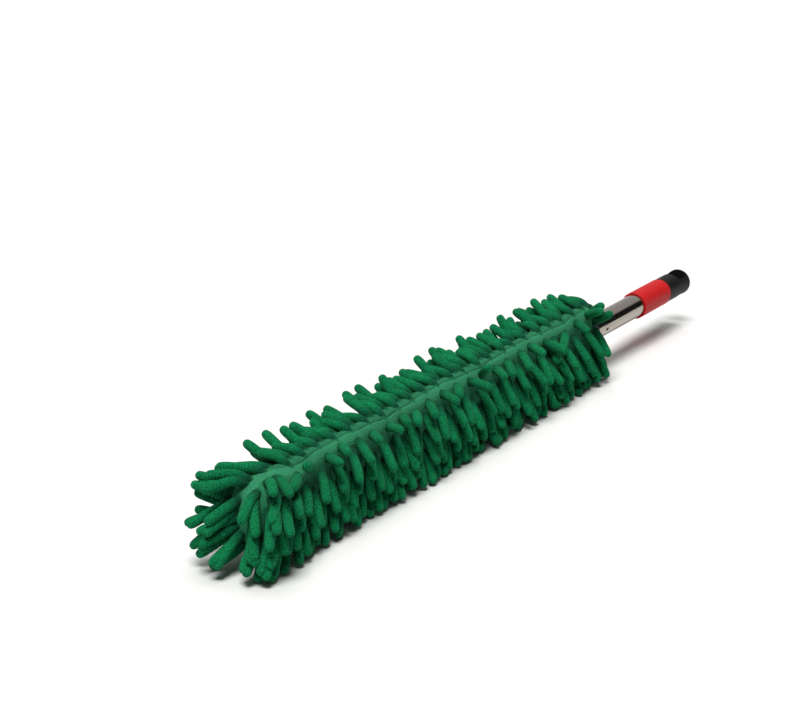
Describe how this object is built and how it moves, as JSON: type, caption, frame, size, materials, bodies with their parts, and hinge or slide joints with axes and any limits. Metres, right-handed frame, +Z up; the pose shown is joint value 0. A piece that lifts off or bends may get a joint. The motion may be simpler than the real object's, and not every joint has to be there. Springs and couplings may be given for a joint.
{
  "type": "feather duster",
  "caption": "Hand duster with a washable chenille finger cover on a flat bendable core, a short steel pole, a soft grip and a hanging slot.",
  "frame": {"origin": "middle of the base, under the middle of the length, on the surface that the head rests on", "axes": "+X along the pole from the head to the hanging cap, +Z up, +Y across the flat core"},
  "size_m": [0.778, 0.09, 0.086],
  "materials": {
    "polished_steel": "polished",
    "red_grip": "satin",
    "black_cap": "satin",
    "connector_plastic": "matte",
    "blade_plastic": "matte",
    "rivet_metal": "satin",
    "annealed_wire": "satin",
    "bumper_rubber": "matte",
    "foam": "matte",
    "base_knit": "matte",
    "edge_knit": "matte",
    "hem_binding": "matte",
    "chenille": "matte"
  },
  "bodies": {
    "handle": {"pole_tube": "polished_steel", "grip_sleeve": "red_grip", "hanging_cap": "black_cap", "head_connector": "connector_plastic", "fork_rivets": "rivet_metal", "blade_half_left": "blade_plastic", "blade_half_right": "blade_plastic", "bend_wire_upper": "annealed_wire", "bend_wire_lower": "annealed_wire", "blade_rivets": "rivet_metal", "tip_bumper": "bumper_rubber", "foam_pad_left": "foam", "foam_pad_right": "foam"},
    "cover": {"cover_panel_left": "base_knit", "cover_panel_right": "base_knit", "cover_edge_band": "edge_knit", "cover_hem": "hem_binding", "chenille_left": "chenille", "chenille_right": "chenille"}
  },
  "joints": [
    {"name": "cover_pull", "type": "slide", "parent": "handle", "child": "cover", "axis": [-1, 0, 0], "range_m": [0, 0.6]}
  ]
}
